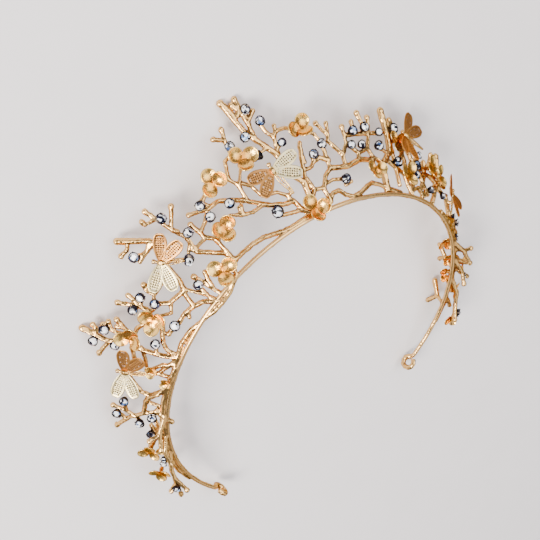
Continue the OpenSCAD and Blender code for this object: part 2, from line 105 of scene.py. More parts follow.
def axes(u):
    along = Vector((cos(heading(u)), sin(heading(u)), 0))
    outward = Vector((sin(heading(u)), -cos(heading(u)), 0))
    up_face = sin(flare) * outward + Vector((0, 0, cos(flare)))
    out_face = cos(flare) * outward - Vector((0, 0, sin(flare)))
    return along, up_face, out_face


def upright(u, v, w=0):
    along, up_face, out_face = axes(u)
    return band_point(u) + v * up_face + w * out_face


wire_places = [-wire_reach + i * wire_step for i in range(1 + int(2 * wire_reach / wire_step))]
wire_line = kdtree.KDTree(len(wire_places))
for number, u in enumerate(wire_places):
    wire_line.insert(laid @ upright(u, wire_v), number)
wire_line.balance()
noise.seed_set(sway_seed)


def sway(lying):
    off_wire = wire_line.find(lying)[2]
    drift = noise.noise_vector(lying * sway_scale) * sway_size * min(1.0, off_wire / sway_grows)
    return Vector((drift.x, drift.y, sway_flat * drift.z))


def spot(place):
    lying = laid @ upright(*place)
    return (lying + sway(lying)) * MM


def seat(place, turn=0.0, tilt_u=0.0, tilt_v=0.0, size=1.0):
    face = Matrix(axes(place[0])).transposed().to_4x4()
    turned = Euler((radians(tilt_u), radians(tilt_v), radians(turn))).to_matrix().to_4x4()
    flat = laid.to_3x3().to_4x4() @ face @ turned
    return Matrix.Translation(spot(place)) @ flat @ Matrix.Scale(size * MM, 4)


print("brow:", [round(c, 4) for c in spot((0, 0))], "peak:", [round(c, 4) for c in spot(peak)])

# %% [markdown]
# ## Working by hand, in code
# Blender's operators act on whatever is selected, so each step first lets go of everything.
# Small helpers do that, go in and out of edit mode, and choose faces or points in code, by
# their place or by the way they face.


# %% Helpers for selecting
def let_go():
    if bpy.context.mode != "OBJECT":
        bpy.ops.object.mode_set(mode="OBJECT")
    bpy.ops.object.select_all(action="DESELECT")


def only(piece):
    let_go()
    piece.select_set(True)
    bpy.context.view_layer.objects.active = piece


def edit(piece, select="DESELECT"):
    only(piece)
    bpy.ops.object.mode_set(mode="EDIT")
    bpy.ops.mesh.select_mode(type="VERT")
    bpy.ops.mesh.select_all(action=select)


def done():
    bpy.ops.object.mode_set(mode="OBJECT")


def choose(piece, faces=None, verts=None):
    done()
    for part in (piece.data.vertices, piece.data.edges, piece.data.polygons):
        part.foreach_set("select", [False] * len(part))
    if faces:
        for face in piece.data.polygons:
            face.select = faces(face)
    if verts:
        for vert in piece.data.vertices:
            vert.select = verts(vert.co)
    bpy.ops.object.mode_set(mode="EDIT")
    bpy.ops.mesh.select_mode(type="FACE" if faces else "VERT")


print("mode:", bpy.context.mode)

# %% [markdown]
# Wax is rolled into two shapes, a rod and a ball. A finished model has its modifiers applied at
# once, is stamped as a copy onto each of its seats, and the copies are joined into one piece.


# %% Helpers for shaping and joining
def fresh(name):
    piece = bpy.context.object
    piece.name = name
    piece.data.name = name
    return piece


def settle(piece):
    only(piece)
    bpy.ops.object.transform_apply()


def ball(radius, location, subdivisions=2):
    bpy.ops.mesh.primitive_ico_sphere_add(subdivisions=subdivisions, radius=radius, location=location)


def rod(start, end, wide, thin, sides, overlap=0.0):
    way = end - start
    bpy.ops.mesh.primitive_cone_add(vertices=sides, radius1=wide, radius2=thin,
                                    depth=way.length + overlap, location=(start + end) / 2,
                                    rotation=way.to_track_quat("Z", "Y").to_euler())


def finish(piece, **modifiers):
    only(piece)
    for kind, settings in modifiers.items():
        step = piece.modifiers.new(kind, kind.rstrip("_0123456789").upper())
        for name, value in settings.items():
            setattr(step, name, value)
        bpy.ops.object.modifier_apply(modifier=step.name)


def stamp(model, matrix):
    copy = bpy.data.objects.new(model.name + "_copy", model.data.copy())
    bpy.context.scene.collection.objects.link(copy)
    copy.data.transform(matrix)
    return copy


def join(pieces, name):
    let_go()
    for piece in pieces:
        piece.select_set(True)
    bpy.context.view_layer.objects.active = pieces[0]
    bpy.ops.object.join()
    return fresh(name)


def discard(*pieces):
    for piece in pieces:
        bpy.data.objects.remove(piece)


def triangles(piece):
    return sum(len(face.vertices) - 2 for face in piece.data.polygons)


print("triangles of the solid frame:", triangles(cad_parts["crown_frame"]))

# %% [markdown]
# ## Finishes as expressions
# A finish is easier to read as a formula than as a web of nodes. This class wraps a socket,
# so that adding or multiplying two values adds the Math nodes behind them.


# %% The shader class
class Value:
    def __init__(self, finish_of, socket):
        self.finish_of = finish_of
        self.socket = socket

    def math(self, operation, first, second):
        return self.finish_of.node("ShaderNodeMath", {"operation": operation}, {0: first, 1: second})

    def __add__(self, other):
        return self.math("ADD", self, other)

    def __sub__(self, other):
        return self.math("SUBTRACT", self, other)

    def __rsub__(self, other):
        return self.math("SUBTRACT", other, self)

    def __mul__(self, other):
        return self.math("MULTIPLY", self, other)

    __radd__ = __add__
    __rmul__ = __mul__


class Finish:
    # a Mix node has its sockets once for each kind of data, and these are the ones for colours
    colour_a, colour_b, colour_result = 6, 7, 2

    def __init__(self, name):
        self.material = bpy.data.materials.new(name)
        self.material.use_nodes = True
        self.tree = self.material.node_tree
        self.shader = self.tree.nodes["Principled BSDF"]

    def put(self, socket, value):
        if isinstance(value, Value):
            self.tree.links.new(value.socket, socket)
        else:
            socket.default_value = value

    def node(self, kind, settings=None, inputs=None, output=0):
        node = self.tree.nodes.new(kind)
        for name, value in (settings or {}).items():
            if name == "stops":
                self.set_ramp(node.color_ramp.elements, value)
            else:
                setattr(node, name, value)
        for key, value in (inputs or {}).items():
            self.put(node.inputs[key], value)
        return Value(self, node.outputs[output])

    def set_ramp(self, ramp, stops):
        while len(ramp) < len(stops):
            ramp.new(0.5)
        for stop, (place, colour) in zip(ramp, stops):
            stop.position = place
            stop.color = (*colour, 1)

    def place(self):
        return self.node("ShaderNodeTexCoord", output="Object")

    def grain(self, scale, detail):
        where = {"Vector": self.place(), "Scale": scale, "Detail": detail}
        return self.node("ShaderNodeTexNoise", {}, where)

    def between(self, mask, low, high):
        return self.node("ShaderNodeMapRange", {}, {"Value": mask, "From Min": low, "From Max": high})

    def blend(self, mask, first, second):
        ends = {"Factor": mask, self.colour_a: (*first, 1), self.colour_b: (*second, 1)}
        return self.node("ShaderNodeMix", {"data_type": "RGBA"}, ends, output=self.colour_result)

    def set(self, **sockets):
        for name, value in sockets.items():
            self.put(self.shader.inputs[name.replace("_", " ")], value)

    def dress(self, piece):
        piece.data.materials.clear()
        piece.data.materials.append(self.material)


print("operators of a value:", sorted(set(vars(Value)) - set(vars(Finish))))

# %% [markdown]
# ## Cast gold
# The castings are plated in a warm, pale gold with a satin skin. Thin edges are polished by
# wear and look like champagne; hollows get a painted shade of deeper, browner gold. Pointiness
# finds the edges and the hollows, a broad noise shifts the plating a little, and a fine one
# roughens the skin. A noise is scaled by how many of its patches fit in a metre, here for
# patches of 6 mm and a grain of 0.5.

# %% The gold finish and its relatives
patches, grains = 160, 1900
wear_and_shade_from, wear_and_shade_to = 0.44, 0.58


def satin(name, rough, bump_mm=0.03, edge=(0.34, 0.15, 0.05)):
    skin = Finish(name)
    edges = skin.node("ShaderNodeNewGeometry", output="Pointiness")
    # pointiness mask: worn, polished edges at one end, painted shade in the hollows at the other
    skin.worn = skin.between(edges, wear_and_shade_from, wear_and_shade_to)
    fine = skin.grain(grains, 4)
    bump = {"Height": fine, "Strength": 0.5, "Distance": bump_mm * MM}
    skin.set(Normal=skin.node("ShaderNodeBump", {}, bump), Metallic=1.0, Specular_Tint=(*edge, 1))
    skin.set(Roughness=rough + fine * 0.12 - skin.worn * 0.05)
    return skin


def gold(name, bright, deep_and_shaded, *surface):
    skin = satin(name, *surface)
    # the deep colour gives darker plating patches from the noise and painted shade in the hollows
    mask = skin.between(skin.grain(patches, 2) * 0.45 + skin.worn * 0.75, 0.25, 0.85)
    skin.set(Base_Color=skin.blend(mask, deep_and_shaded, bright))
    return skin


cast_gold = gold("cast_gold", (0.88, 0.55, 0.20), (0.32, 0.14, 0.04), 0.20, 0.03, (0.28, 0.12, 0.05))
wire_gold = gold("wire_gold", (0.86, 0.54, 0.22), (0.56, 0.28, 0.08), 0.26, 0.01)
fly_gold = gold("fly_gold", (0.90, 0.60, 0.22), (0.25, 0.09, 0.02), 0.22, 0.02)
pale_leaf = gold("pale_leaf", (0.74, 0.64, 0.37), (0.42, 0.29, 0.10), 0.30, 0.02, (0.36, 0.22, 0.1))
bronze_leaf = gold("bronze_leaf", (0.70, 0.34, 0.10), (0.26, 0.08, 0.015), 0.32, 0.02)
print("finishes:", len(bpy.data.materials))

# %% [markdown]
# Petals are coloured cream gold on the bowl and a darker orange gold near the heart. The
# attribute that each petal carries says where that is, and a noise frays the border.
# The pits and holes of the wings get a painted shade, nearly black. The cups are of a nearly
# black metal, rubbed lighter in patches, which gives every stone a dark line under it.

# %% Petal gold, painted pit shade and the cups' metal
petal_gold = satin("petal_gold", 0.22)
from_heart = petal_gold.node("ShaderNodeAttribute", {"attribute_name": "reach"}, {}, output="Fac")
# darker orange near the heart, cream gold towards the rim
heart_to_rim = petal_gold.between(from_heart + petal_gold.grain(300, 3) * 0.5, 0.45, 0.95)
petal_gold.set(Base_Color=petal_gold.blend(heart_to_rim, (0.64, 0.24, 0.03), (0.90, 0.58, 0.17)))
# painted shade for the pits and holes of the wings, nearly black
patina = Finish("patina")
pit_shade_colour = patina.blend(patina.grain(700, 2), (0.02, 0.008, 0.004), (0.07, 0.03, 0.01))
patina.set(Base_Color=pit_shade_colour, Metallic=0.6, Roughness=0.55)
# a nearly black metal, rubbed lighter in patches; it gives each stone a dark line under it
cup_metal = Finish("cup_metal")
rubbed = cup_metal.between(cup_metal.grain(700, 2), 0.55, 0.75)
cup_metal.set(Base_Color=cup_metal.blend(rubbed, (0.025, 0.02, 0.025), (0.30, 0.22, 0.14)))
cup_metal.set(Roughness=0.2 + cup_metal.grain(900, 2) * 0.15)
cup_metal.set(Metallic=1.0, Specular_Tint=(0.3, 0.25, 0.25, 1))
print("finishes:", len(bpy.data.materials))

# %% [markdown]
# ## Stones
# The rhinestones are foiled glass. What one sees in them is a mosaic: some facets send back the
# white of the room, some its blue, and some nothing at all. Real glass of this size would need
# very many light paths to show that, so the mosaic is painted: a random value for each small
# cell of the glass picks one of those colours, and a mirror-like skin adds the true reflections.

# %% The glass
crystal = Finish("crystal")
mosaic = {"Vector": crystal.place(), "Scale": 850.0}
cells = crystal.node("ShaderNodeTexVoronoi", {}, mosaic, output="Color")
luck = crystal.node("ShaderNodeSeparateColor", {}, {"Color": cells}, output="Red")
# share of the cells up to here, colour
tones = [
    (0.0, (0.001, 0.001, 0.004)),
    (0.40, (0.002, 0.004, 0.02)),
    (0.43, (0.05, 0.11, 0.30)),
    (0.50, (0.25, 0.42, 0.74)),
    (0.53, (0.90, 0.94, 1.0)),
    (1.0, (1.0, 1.0, 1.0)),
]
sparkle = crystal.node("ShaderNodeValToRGB", {"stops": tones}, {"Fac": luck}, output="Color")
crystal.set(Base_Color=sparkle, Roughness=0.05, IOR=1.6)
print("tones of the glass:", len(tones))

# %% [markdown]
# ## The castings
# Coral twigs are thin rods that were pressed from wax, so no edge on them is sharp and every
# tip ends in a small knob. The solids hold the main rods. Finer twigs are chains of cones and
# balls, laid where the photograph shows them, with a few drops of solder under the dragonflies.

# %% Finer twigs
# root radius, tip radius, places from root to tip
fine_twigs = [
    (0.7, 0.7, [(-3.9, 46), (-2.7, 48), (-3.6, 51.2)]),
    (0.6, 0.6, [(-2.3, 44), (-0.8, 47.5)]),
    (0.6, 0.6, [(-2.3, 40.4), (-1.6, 43), (0.8, 45.6)]),
    (0.5, 0.5, [(3.9, 34.9), (4.4, 37.2)]),
    (0.6, 0.55, [(1, 28), (4, 30.2)]),
    (0.5, 0.5, [(-28.3, 24), (-26.7, 22.3)]),
    (0.6, 0.6, [(-19, 15), (-18.3, 17.9)]),
    (0.6, 0.55, [(11.6, 18.7), (14.4, 19.4)]),
    (0.6, 0.55, [(7, 17), (8, 22), (9.6, 27.4)]),
    (0.6, 0.5, [(7.3, 8.6), (11.7, 8)]),
    (0.5, 0.5, [(21, 8.8), (20.6, 6.2), (23.2, 6.9)]),
    (0.6, 0.6, [(30.2, 25.4), (30, 30)]),
    (0.55, 0.5, [(34.2, 18.7), (36.3, 14.5)]),
    (0.7, 0.65, [(44.5, 26), (46, 28.6), (46.6, 31)]),
    (0.65, 0.6, [(66.5, 15), (67.4, 19, 1), (66.8, 21.5, 2)]),
    (0.7, 0.65, [(-43.6, 4.4), (-42.7, 7.3), (-41.3, 9.9)]),
    (0.6, 0.5, [(-56, 6.2), (-57.8, 4.5)]),
    (0.7, 0.65, [(-63.4, 23.3), (-62.3, 26), (-61.8, 28.5)]),
    (0.65, 0.6, [(-78.5, 33.5), (-76.5, 34.6), (-75.7, 36)]),
    (0.65, 0.6, [(-74.6, 29), (-72.6, 31)]),
    (0.6, 0.55, [(-72.5, 24.6), (-73, 27.4)]),
    (0.6, 0.6, [(-84.6, 8.7), (-84.4, 1.2)]),
    (0.65, 0.6, [(-25, 25.4), (-26.6, 28.6), (-19.5, 31.8)]),
    (0.8, 1.1, [(-4.6, 46), (-5.2, 50), (-5.8, 53.6)]),
    (0.6, 0.8, [(47.8, 3.3), (46, 17.3), (45, 24), (43.1, 31.2)]),
    (0.6, 0.75, [(53, 3.8), (52, 14.7), (49.4, 22.8), (47, 30)]),
    (0.6, 0.75, [(67.5, 3.1), (61.7, 10), (56.3, 15.6), (52.1, 23.3)]),
    (0.6, 0.75, [(61, 3), (64.7, 11), (64.3, 17.3)]),
    (0.55, 0.65, [(36, 9.7), (35.2, 14)]),
    (0.6, 0.75, [(83, 14.5), (78.6, 13.8), (72, 18)]),
    (0.55, 0.65, [(53.8, 1.5), (59.7, 4.4), (64, 2)]),
    (0.55, 0.65, [(8.5, 19.5), (8.8, 24), (9, 26)]),
    (0.6, 0.75, [(13.8, 19.8), (17, 17.4)]),
    (0.55, 0.65, [(-18.4, 15.7), (-17.7, 18)]),
    (0.45, 0.45, [(-2, 11.3, 0.2), (-1.2, 11.9, 1.5)]),
    (0.5, 0.5, [(-87.3, 17.9, 0.6), (-87.1, 18, 1.3)]),
    (0.5, 0.5, [(52, 23.3, 0.8), (51.7, 23.3, 2.5)]),
    (0.45, 0.45, [(87, 9.5, 0.8), (87.1, 9.5, 1.7)]),
    (0.6, 0.55, [(-45, 32.5), (-47.5, 31.5), (-51, 31.5)]),
    (0.5, 0.5, [(-57, 22.5), (-56, 25)]),
    (0.55, 0.5, [(-76.5, 16), (-80, 13), (-84, 11)]),
    (0.55, 0.55, [(-83.5, 5.5), (-80, 3.5), (-76, 1.5)]),
    (0.7, 0.8, [(-101.5, 4.5, 0.8), (-104.5, 1.2, 1), (-107.2, -2.2)]),
    (0.7, 0.6, [(-111, 6.5), (-117.5, 4.5), (-121, 2.5)]),
    (0.6, 0.55, [(104.6, 9.3), (104.3, 12.6)]),
    (0.6, 0.55, [(103.5, 8), (107.4, 7.3)]),
    (0.6, 0.55, [(96.4, 5.6), (96.4, 8.8)]),
    (0.6, 0.6, [(151, 3, 8), (150, 4.4, 6.6)]),
    (0.6, 0.55, [(102, 0.6), (104, 2, -2), (106, 3, -3.8)]),
    (0.6, 0.55, [(113, 0.6), (115, 2, -1.4), (117, 3, -3)]),
    (0.6, 0.55, [(122, 0.6), (124, 2, -1.4), (126.4, 3, -3.4)]),
    (0.6, 0.75, [(108, 1, 0.5), (110, 2, 2.4), (111.4, 3, 4.4)]),
    (0.6, 0.75, [(114, 1, 0.5), (116.6, 2, 3), (118.4, 3, 6)]),
    (0.6, 0.75, [(121, 1.5, 1), (123.6, 2, 4), (126, 3, 7.4)]),
    (0.6, 0.75, [(138, 1, 0.4), (140, 2, 2), (143, 3, 3.8)]),
]
# a wavy twig runs beside each tail: its knots stand at these heights and distances in turn
tail_start, tail_end, knot_step, knots = 79, 153, 9.1, 9
knot_heights, knot_outs = (0.6, 1.3, 1.7, 1.5), (0.3, 0.7)
for side in (-1, 1):
    wave = [(side * (tail_start + knot_step * i), knot_heights[i % 4], knot_outs[i % 2])
            for i in range(knots)]
    fine_twigs.append((0.85, 0.8, wave))
    fine_twigs.append((0.7, 0.65, [(side * 88, 1.4, 0.6), (side * 93, 4.2, 1.2), (side * 96.4, 7.6, 0.6)]))
    fine_twigs.append((0.65, 0.6, [(side * 131, 1.2, 0.6), (side * 132.4, 3, 1.4), (side * 133, 4.4, 1.6)]))
print("fine twigs:", len(fine_twigs))

# %% [markdown]
# A knob is a ball on a free tip, a little wider than the twig, as the wax drew itself together
# there. The two tails of the crown carry the same ones in mirror image.

# %% Knobs
# place of a free tip, with the radius of its knob last
knobs = [
    ((-5.9, 54), 0.95), ((-2.2, 52.6), 0.95), ((-12.6, 44), 0.85), ((-9.4, 45.3), 0.85),
    ((-31.4, 28.6), 0.85), ((-32.9, 25.6), 0.85), ((-38, 18.2), 0.7), ((17.3, 32.4), 0.85),
    ((20.6, 31.2), 0.8), ((25.9, 28.6), 0.85), ((33, 33.2), 0.95), ((36.8, 31.4), 0.85),
    ((43.2, 34.4), 1.15), ((52.6, 23), 0.75), ((57, 22), 0.8), ((72.4, 19.6), 0.85),
    ((76, 12.4), 0.85), ((-38.9, 41.2), 0.95), ((-41.4, 39.4), 0.9), ((-33, 35.4), 0.9),
    ((-50.1, 42.4), 1.1), ((-52.8, 38.2), 0.9), ((-50.6, 34), 0.7), ((-44.8, 11.9), 0.95),
    ((-67.4, 8.2), 0.85), ((-65.7, 30.8), 0.95), ((-56.3, 25.6), 0.85), ((-78, 39.2), 1.15),
    ((-84.2, 30.4), 0.95), ((-74.3, 32.4), 0.9), ((-70.9, 28.4), 0.95), ((-114, 21), 0.95),
    ((-104.2, 21.8), 0.85), ((-102.4, 17.4), 0.75), ((-107.2, -2.2), 0.85), ((-3.6, 51.2), 0.8),
    ((-0.8, 47.5), 0.7), ((0.8, 45.6), 0.75), ((-18.3, 17.9), 0.7), ((23.2, 6.9), 0.65),
    ((30, 30), 0.75), ((46.6, 31), 0.8), ((-41.3, 9.9), 0.8), ((-61.8, 28.5), 0.8),
    ((-75.7, 36), 0.75), ((-72.6, 31), 0.75), ((16.9, 24.2), 0.8), ((4.4, 37.2), 0.65),
    ((74, 24.3), 1.1), ((110, 13), 0.9),
]
tail_knobs = [
    ((116.5, 0.6, 7.6), 0.9), ((112, 5, 7.6), 0.9), ((127.4, -1.4, 6.6), 0.9),
    ((113.4, 7.4, -6.6), 0.95), ((121, 6.6, -6.2), 0.9), ((151, 3, 8.2), 0.95),
    ((146.4, -2.4, 8), 0.9), ((146.6, 5, 8.6), 0.9), ((134.4, 6.6, -6.2), 0.95),
    ((145.6, 6, -6), 0.95),
]
for (u, v, w), r in tail_knobs:
    knobs += [((u, v, w), r), ((-u, v, w), r)]
print("knobs:", len(knobs))

# %% [markdown]
# The twigs are added one cone and one ball after the other, in edit mode, so that they all
# belong to one mesh. The balls at the joints keep a bent chain from opening at its outer side.

# %% Roll the twigs
knob_swell = 0.94
first_ball = 0.9
twig_sides = 10
ball(first_ball * MM, spot(peak))
stock = fresh("twig_stock")
edit(stock)
for root_r, tip_r, places in fine_twigs:
    points = [spot(place) for place in places]
    radii = [root_r + (tip_r - root_r) * i / (len(points) - 1) for i in range(len(points))]
    for start, end, wide, thin in zip(points, points[1:], radii, radii[1:]):
        rod(start, end, wide * MM, thin * MM, twig_sides)
        ball(thin * MM, end)
for place, r in knobs:
    ball(knob_swell * r * MM, spot(place))
done()
print("twig stock triangles:", triangles(stock))

# %% [markdown]
# ## Where flowers and stones sit
# Both lists give a place on the face and how the piece is turned there. They serve twice: the
# castings below lose the solid's plain petals and cups at these seats, and later the modelled
# ones are stamped there.

# %% Flowers of the crown
# place of the heart, petal length, petal headings with the tilt of each
flowers = [
    ((-9.5, 31.6, 1.5), 6.3, [(2, 14), (118, 15), (254, 39)]),
    ((-20, 30.4, 1.5), 6.3, [(90, 4), (189, 23), (11, 35)]),
    ((-26.3, 16, 1.5), 6.2, [(23, 32), (150, 33), (255, 32)]),
    ((10.5, 31.5, 1.5), 6.3, [(62, 17), (163, 19), (287, 54)]),
    ((4.5, 2.2, 1.5), 6.3, [(119, 4), (236, 28), (350, 46)]),
    ((-36.5, 4.7, 1.5), 6.3, [(116, 2), (235, 33), (10, 16)]),
    ((-64.5, 16, 1.5), 6.2, [(85, 24), (202, 26), (305, 28)]),
    ((-74.2, 20.6, 1.5), 6.2, [(107, 17), (279, 36), (10, 26)]),
    ((34.5, 10.6, 1.4), 5.0, [(255, 14), (345, 14), (170, 14)]),
    ((47.6, 21.6, 1.2), 4.6, [(140, 6), (20, 6), (265, 6)]),
    ((51, 8.4, 1.5), 5.4, [(60, 14), (175, 14), (300, 14)]),
    ((66.5, 15, 1.4), 5.4, [(95, 14), (215, 14), (330, 14)]),
    ((73, 14, 1.4), 5.0, [(98, 14), (205, 14), (330, 14)]),
]
# the same on the left tail, repeated in mirror image on the right one
tail_flowers = [
    ((-122.4, 7.4, 3.6), 5.0, [(100, 14), (345, 14), (225, 14)]),
    ((-138, 7, 3.6), 5.0, [(170, 14), (60, 14), (285, 14)]),
    ((-128, 2.9, -1.7), 4.4, [(108, 14), (340, 14), (222, 14)]),
]
for (u, v, w), length, petals in tail_flowers:
    flowers.append(((u, v, w), length, petals))
    flowers.append(((-u, v, w), length, [(180 - turn, tilt) for turn, tilt in petals]))
# small ones that the solid leaves out
small_flowers = [
    ((-83.3, 8.7, 0.9), 3.4, [(60, 30), (180, 25), (300, 35)]),
    ((-86.5, 2.4, 1.3), 2.8, [(30, 25), (150, 20), (270, 30)]),
]
# small ones on the right tail that nod down to the head
nodding_flowers = [
    ((106, 3, -3.8), 4.6, [(30, 20), (150, 20), (270, 20)]),
    ((117, 3, -3), 3.8, [(100, 20), (220, 20), (340, 20)]),
    ((126.4, 3, -3.4), 4.4, [(200, 10), (320, 40)]),
    ((150, 4.4, 6.6), 4.0, [(60, 20), (180, 20), (300, 20)]),
]
print("flowers:", len(flowers) + len(small_flowers) + len(nodding_flowers))

# %% [markdown]
# A stone looks straight out of the face, apart from a few whose cup was soldered on askew.
# Size 1 is a rhinestone of 3.2 mm, the common one on this crown.

# %% Stones of the crown
# place in the face, size, turns about the band and about the face's height
stones = [
    ((-1.4, 47.3), 1, 0, 10), ((0.7, 41), 1, 0, 8), ((-5, 38.3), 1, 0, -10),
    ((-10.2, 38.3), 1, 0, 0), ((-5.1, 29.9), 1, 0, 36), ((-27.2, 28.2), 1, 0, 0),
    ((-27.1, 22.9), 1, 10, 0), ((-20, 21.8), 1, 0, 0), ((-9, 8.4), 1.2, 0, 0),
    ((11.9, 21.3), 1, 0, 0), ((16, 24.1), 1, 0, 0), ((20.4, 8.8), 1.04, 15, 0),
    ((-37.2, 35.1), 1.04, 0, 0), ((-50.5, 34.2), 1.04, 0, 0), ((-35.1, 24.4), 1, 0, 0),
    ((-41.7, 17.5), 1, 0, 30), ((-46, 9), 1, 0, 0), ((-60, 24.1), 1, 0, 0),
    ((-64.9, 24.3), 1, 0, 0), ((-59.7, 18.2), 1, 0, 0), ((-62.9, 7.7), 1.06, 0, 0),
    ((-80, 33.6), 1, 0, 0), ((-78.7, 25.2), 1, 0, 0), ((-75.2, 31.2), 1.04, 0, 0),
    ((-72.4, 11.1), 1, 0, 0), ((-100.1, 17.3), 1, 0, 0), ((-106.6, 20), 1, 0, 0),
    ((-109.9, 11), 1, 15, 0), ((-105.5, 5.7), 1.04, 10, 0), ((-115, 6.3), 1, 0, 0),
    ((-144.4, 1.4, 7), 1, 0, 0), ((144.4, 1.4, 7), 1, 0, 0), ((28.8, 26), 1.04, 0, 0),
    ((33.9, 27.1), 1.04, 0, 0), ((27, 20.8), 0.92, 0, 0), ((31.2, 20.3), 0.92, 0, 0),
    ((38.6, 19.4), 1.06, 0, 0), ((46.9, 27), 1.04, 0, 0), ((46.4, 12.6), 1.1, 0, 0),
    ((58, 13.5), 1.04, 0, 0), ((56.9, 9.2), 1, 0, 0),
]
# smaller ones that the solids leave out
small_stones = [
    ((4, 30.2, -0.2), 0.86, 0, 0), ((60.2, 18.6, -0.2), 0.8, 0, 0), ((68.2, 5.9, -0.2), 0.86, 0, 0),
    ((39.9, 24.8, -0.2), 0.9, 0, 0), ((79.8, 8.2, -0.2), 0.8, 0, 0), ((75.4, 18, -0.2), 0.8, 0, 0),
    ((104.1, 12.8, -0.2), 0.85, 0, 0), ((107.6, 7.2, -0.2), 0.85, 0, 0), ((96.4, 9, -0.2), 0.8, 0, 0),
]
for side in (-1, 1):
    small_stones += [((side * 133, 4.4, 1.6), 0.8, 0, 0), ((side * 124.6, 1.2, 4.8), 0.75, 0, 0)]
print("stones:", len(stones) + len(small_stones))

# %% [markdown]
# ## Fold away what gets modelled anew
# The castings start as a copy of the solid frame. Its petals and cups are plain, so each is
# folded into a small heart or stalk, where finer ones will hide it. Its wire is drawn thin for
# the same reason. Everything else sways with its place, so that the finer twigs meet it.

# %% Seats of the plain petals and cups
castings = bpy.data.objects.new("castings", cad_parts["crown_frame"].data.copy())
bpy.context.scene.collection.objects.link(castings)
edit(castings, "SELECT")
bpy.ops.mesh.remove_doubles(threshold=1e-7)
done()
plates, cup_seats = [], []
for place, length, petals in flowers:
    for turn, tilt in petals:
        flat = seat(place, turn=turn, tilt_v=-tilt)
        plates.append((flat, flat.inverted(), sway(laid @ upright(*place)), length))
for place, size, tilt_u, tilt_v in stones:
    turned = seat(place, tilt_u=tilt_u, tilt_v=tilt_v)
    cup_seats.append((turned, turned.inverted(), sway(laid @ upright(*place)), size))
print("plates:", len(plates), "cups:", len(cup_seats))

# %% [markdown]
# Seen from its own seat, every petal and every cup has the same few sizes. A point that lies
# within them is drawn in to the heart or to the stalk. A point of the wire is drawn in towards
# the wire's middle, and all the others sway.

# %% Fold them
# a solid petal's plate: start, overhang, half width, lowest and highest level
plate_start, plate_over, plate_half, plate_low, plate_high = 0.3, 0.5, 0.42, -0.1, 0.7
folded_share, heart_level = 0.1, 0.2
# a solid cup above its stalk: radii, lowest and highest level, and the stalk that is left of it
stalk_r, stalk_share = 0.6, 0.4
cup_r, cup_over, cup_low, cup_top, cup_lip = 1.6, 0.55, 0.65, 2.05, 0.1
# the ring under the cup: radii, level, half height, and the radius and level it is folded to
ring_in, ring_out, ring_level, ring_half = 1.2, 1.42, -0.53, 0.06
ring_folded_r, ring_folded_level = 0.75, -0.35


def on_plate(local, length):
    ahead = plate_start * length < local.x < length + plate_over
    beside = abs(local.y) < plate_half * length
    return ahead and beside and plate_low < local.z < plate_high


def folded(lying):
    for out, back, drift, length in plates:
        local = back @ ((lying + drift) * MM)
        if on_plate(local, length):
            return out @ Vector((folded_share * length, folded_share * local.y, heart_level))
    for out, back, drift, size in cup_seats:
        local = back @ ((lying + drift) * MM)
        wide = hypot(local.x, local.y)
        if stalk_r < wide < cup_r * size + cup_over and cup_low < local.z < cup_top * size + cup_lip:
            return out @ Vector((local.x * stalk_r / wide, local.y * stalk_r / wide, local.z * stalk_share))
        if ring_in * size < wide < ring_out * size and abs(local.z - ring_level) < ring_half:
            pulled = (local.x * ring_folded_r / wide, local.y * ring_folded_r / wide)
            return out @ Vector((*pulled, ring_folded_level))
    return None


# distances from the middle of the wire, in the solid
wire_core, wire_skin, tail_skin, thin_wire = 0.3, 1.02, 1.42, 0.5
for vert in castings.data.vertices:
    lying = vert.co / MM
    near, index, gap = wire_line.find(lying)
    on_tail = tail_start < abs(wire_places[index]) < tail_end
    if wire_core < gap < (tail_skin if on_tail else wire_skin):
        vert.co = (near + (lying - near) * min(1, thin_wire / gap)) * MM
    else:
        vert.co = folded(lying) or (lying + sway(lying)) * MM
print("castings to melt:", triangles(castings))

# %% [markdown]
# ## Melt the rods together
# The copy and the finer twigs become one mesh, swell a little, and a voxel remesh melts them
# into one skin, as wax would. A few rounds of smoothing take the steps off, a cloudy noise
# makes the skin lumpy like a real casting, and the last step thins the mesh.

# %% One grainy skin
swell, voxel, lump_size, lump_height = 0.44, 0.32, 1.3, 0.42
most_triangles = 180000
castings = join([castings, stock], "castings")
lumps = bpy.data.textures.new("lumps", "CLOUDS")
lumps.noise_scale = lump_size * MM
lumps.noise_depth = 1
finish(castings, Displace={"strength": swell * MM, "mid_level": 0.0, "direction": "NORMAL"})
finish(castings, Remesh={"mode": "VOXEL", "voxel_size": voxel * MM})
finish(castings, Smooth={"factor": 0.5, "iterations": 5},
       Displace={"texture": lumps, "texture_coords": "LOCAL", "strength": lump_height * MM, "mid_level": 0.5},
       Smooth_2={"factor": 0.5, "iterations": 1})
print("castings before thinning:", triangles(castings))
finish(castings, Decimate={"ratio": min(1.0, most_triangles / triangles(castings))})

# %% [markdown]
# ## Hand a piece over
# The crown has one body, so every piece rides on the root. A piece that shows a solid more
# finely takes the solid's place. The crown lies on a floor, so no point of a piece may dip below it.


# %% Place the castings
def rest_on_floor(piece):
    for vert in piece.data.vertices:
        vert.co.z = max(vert.co.z, 0.0)


def place_on_crown(piece, skin, slot_name, *nodes):
    only(piece)
    bpy.ops.object.shade_smooth()
    skin.dress(piece)
    rest_on_floor(piece)
    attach(piece, "root")
    if nodes:
        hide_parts(*nodes)
    print(piece.name, "triangles:", triangles(piece))


place_on_crown(castings, cast_gold, "cast_gold", "crown_frame")

# %% [markdown]
# ## The band wire
# The band is one drawn wire, smoother than the castings that are soldered to it. A circle spun
# about each arc's centre makes it, just as the wire was bent round three formers, and a last
# tight spin at each end bends the eye that a ribbon goes through.

